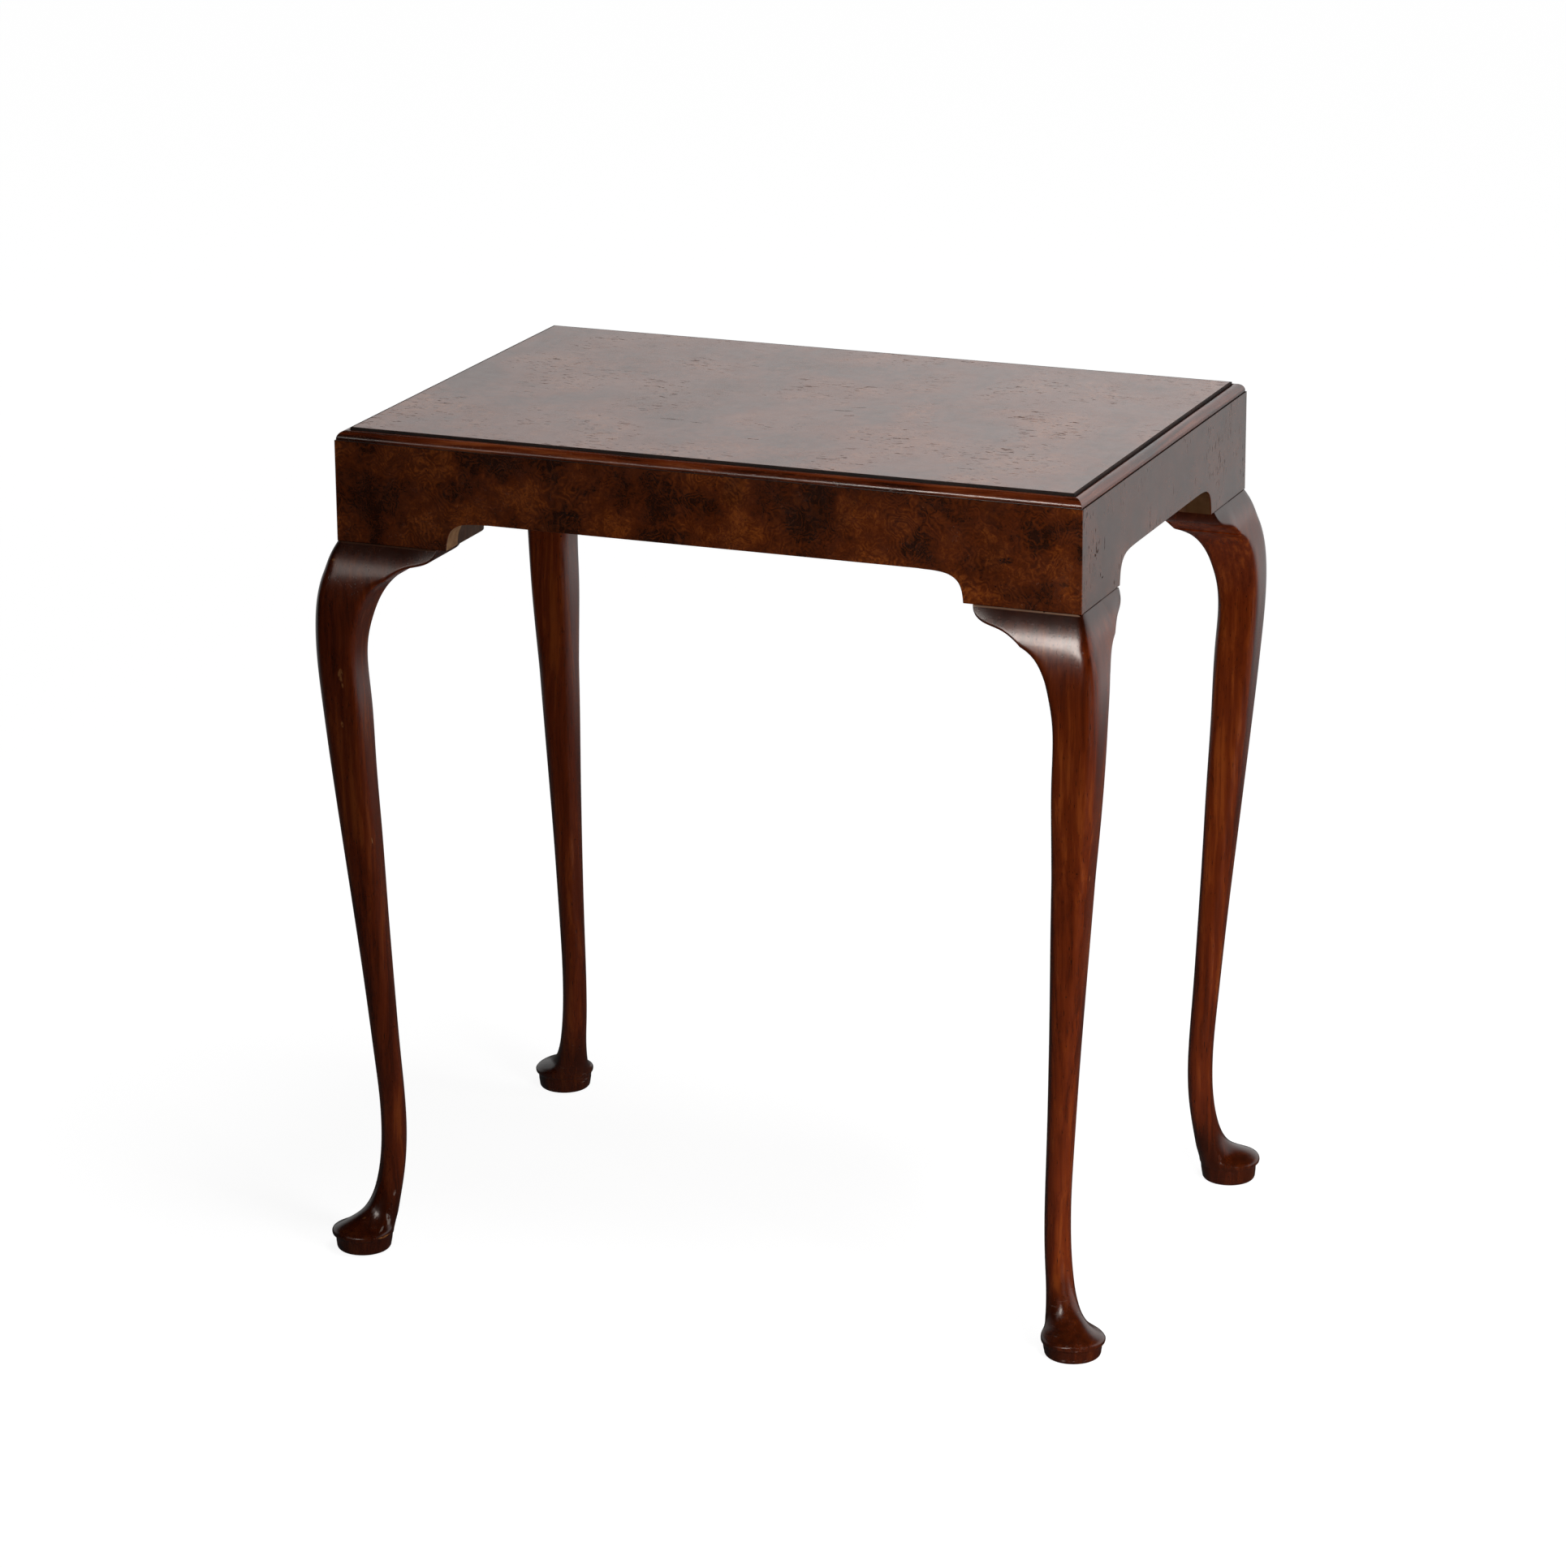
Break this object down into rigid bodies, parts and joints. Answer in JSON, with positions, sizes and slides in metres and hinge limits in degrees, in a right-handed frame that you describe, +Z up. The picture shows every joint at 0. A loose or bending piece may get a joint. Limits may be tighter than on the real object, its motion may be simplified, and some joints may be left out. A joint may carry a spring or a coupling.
{
  "type": "side table",
  "caption": "Side table with a lift-out tray top in burr veneer, arched aprons and cabriole legs on pad feet.",
  "frame": {"origin": "on the floor, under the middle of the case", "axes": "+X to the right along the long side, +Y to the back, +Z up; the front faces -Y"},
  "size_m": [0.6566, 0.4466, 0.68],
  "materials": {
    "polished_walnut": "deep red-brown walnut, french polished",
    "top_burr_veneer": "faded burr veneer under a clear gloss polish",
    "apron_burr_veneer": "burr veneer, polished",
    "dark_moulding": "dark red-brown, polished",
    "plain_rail_wood": "raw, unfinished",
    "stained_block": "brown stain, dull",
    "backing_veneer": "straight-grained, dull",
    "screw_steel": "plain steel"
  },
  "bodies": {
    "frame": {"leg_front_left": "polished_walnut", "corner_block_front_left": "stained_block", "knee_bracket_front_left_front": "polished_walnut", "knee_bracket_front_left_left": "polished_walnut", "leg_front_right": "polished_walnut", "corner_block_front_right": "stained_block", "knee_bracket_front_right_front": "polished_walnut", "knee_bracket_front_right_right": "polished_walnut", "leg_back_right": "polished_walnut", "corner_block_back_right": "stained_block", "knee_bracket_back_right_back": "polished_walnut", "knee_bracket_back_right_right": "polished_walnut", "leg_back_left": "polished_walnut", "corner_block_back_left": "stained_block", "knee_bracket_back_left_back": "polished_walnut", "knee_bracket_back_left_left": "polished_walnut", "corner_block_screws": "screw_steel", "rail_front": "plain_rail_wood", "burr_facing_front": "apron_burr_veneer", "lip_moulding_front": "dark_moulding", "rail_back": "plain_rail_wood", "burr_facing_back": "apron_burr_veneer", "lip_moulding_back": "dark_moulding", "rail_right": "plain_rail_wood", "burr_facing_right": "apron_burr_veneer", "lip_moulding_right": "dark_moulding", "rail_left": "plain_rail_wood", "burr_facing_left": "apron_burr_veneer", "lip_moulding_left": "dark_moulding"},
    "tray": {"tray_edging_front": "dark_moulding", "tray_edging_back": "dark_moulding", "tray_edging_right": "dark_moulding", "tray_edging_left": "dark_moulding", "tray_core_board": "plain_rail_wood", "tray_burr_veneer": "top_burr_veneer", "tray_backing_veneer": "backing_veneer"}
  },
  "joints": [
    {"name": "tray_lift", "type": "slide", "parent": "frame", "child": "tray", "axis": [0, 0, 1], "range_m": [0, 0.06]}
  ]
}
